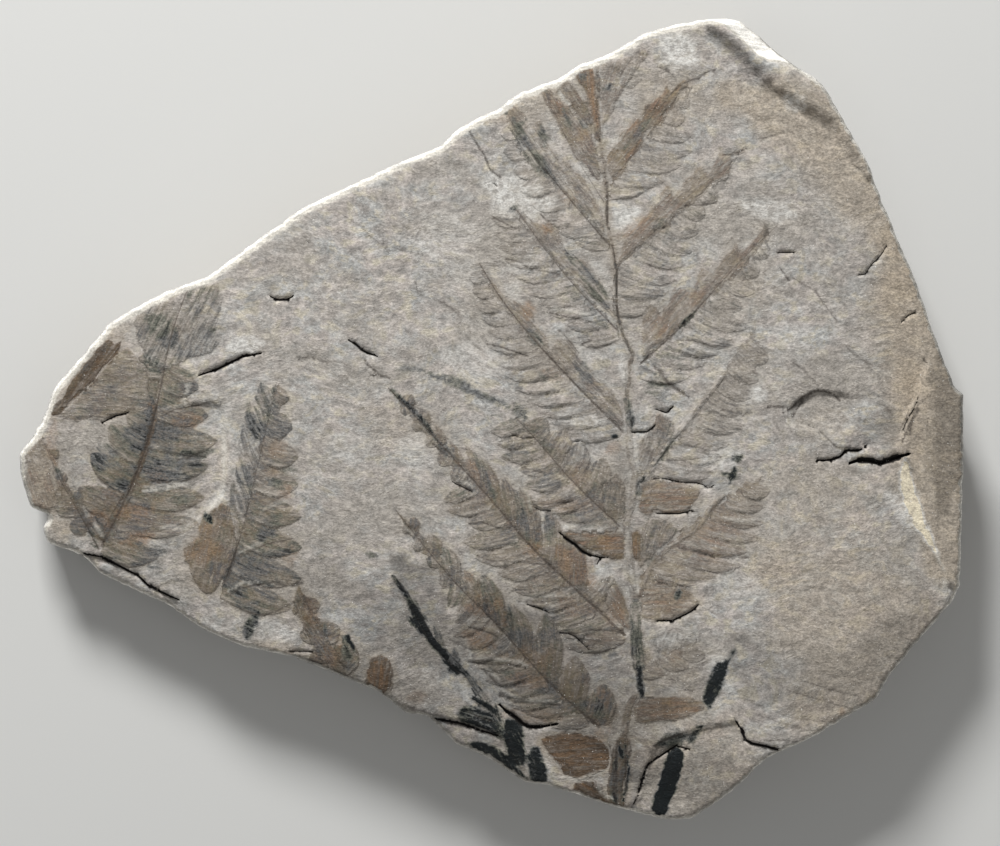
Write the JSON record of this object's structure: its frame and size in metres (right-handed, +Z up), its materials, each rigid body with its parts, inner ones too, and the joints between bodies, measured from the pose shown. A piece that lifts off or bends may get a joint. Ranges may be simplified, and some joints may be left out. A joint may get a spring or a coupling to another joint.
{
  "type": "fossil fern plate",
  "caption": "Loose slab of grey-brown shale with pressed fern fronds across its top bedding face, a broken rim and a flat underside to rest on.",
  "frame": {"origin": "on the underside, at the centre of the slab's bounding box", "axes": "+X runs along the slab towards its blunt right end, +Y across it towards its upper edge, +Z up through its thickness, out of the fern face"},
  "size_m": [0.151, 0.128, 0.0181],
  "materials": {
    "shale": "dull warm grey shale with brown and blue-grey fern films, fine grain and tiny mica specks"
  },
  "bodies": {
    "root": {"shale_slab": "shale"}
  },
  "joints": []
}
